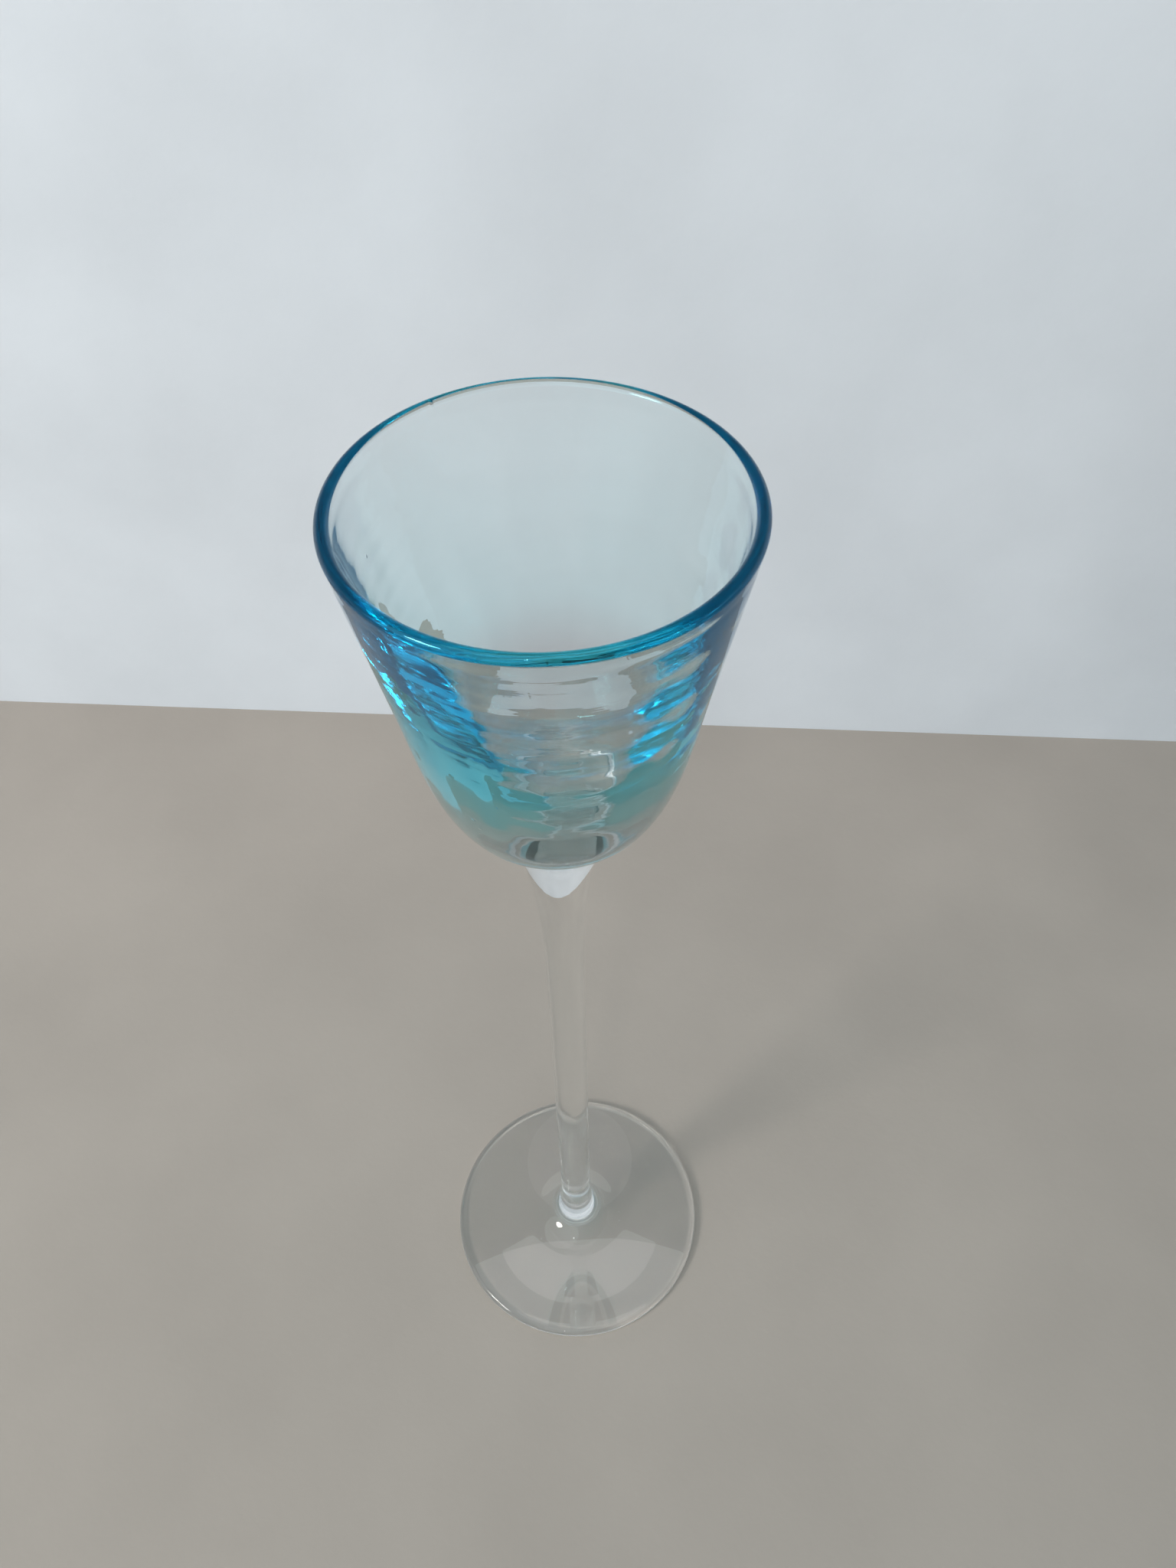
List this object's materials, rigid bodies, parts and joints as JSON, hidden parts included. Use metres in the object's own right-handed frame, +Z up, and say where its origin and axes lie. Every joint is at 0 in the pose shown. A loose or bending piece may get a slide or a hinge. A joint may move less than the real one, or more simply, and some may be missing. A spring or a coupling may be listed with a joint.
{
  "type": "stemmed glass",
  "caption": "Tall stemmed drinking glass: a flared aqua bowl with a rounded lip on a clear drawn stem and a round, gently domed clear foot, for wine or liqueur.",
  "frame": {"origin": "middle of the foot's resting ring, on the surface that the glass stands on", "axes": "+Z up the axis that every piece is turned about, from the foot to the rim; X and Y are alike"},
  "size_m": [0.067, 0.067, 0.249],
  "materials": {
    "aqua_glass": "fire-polished, see-through, aqua tint through the thickness",
    "clear_glass": "fire-polished, clear"
  },
  "bodies": {
    "root": {"bowl": "aqua_glass", "stem": "clear_glass", "foot": "clear_glass"}
  },
  "joints": []
}
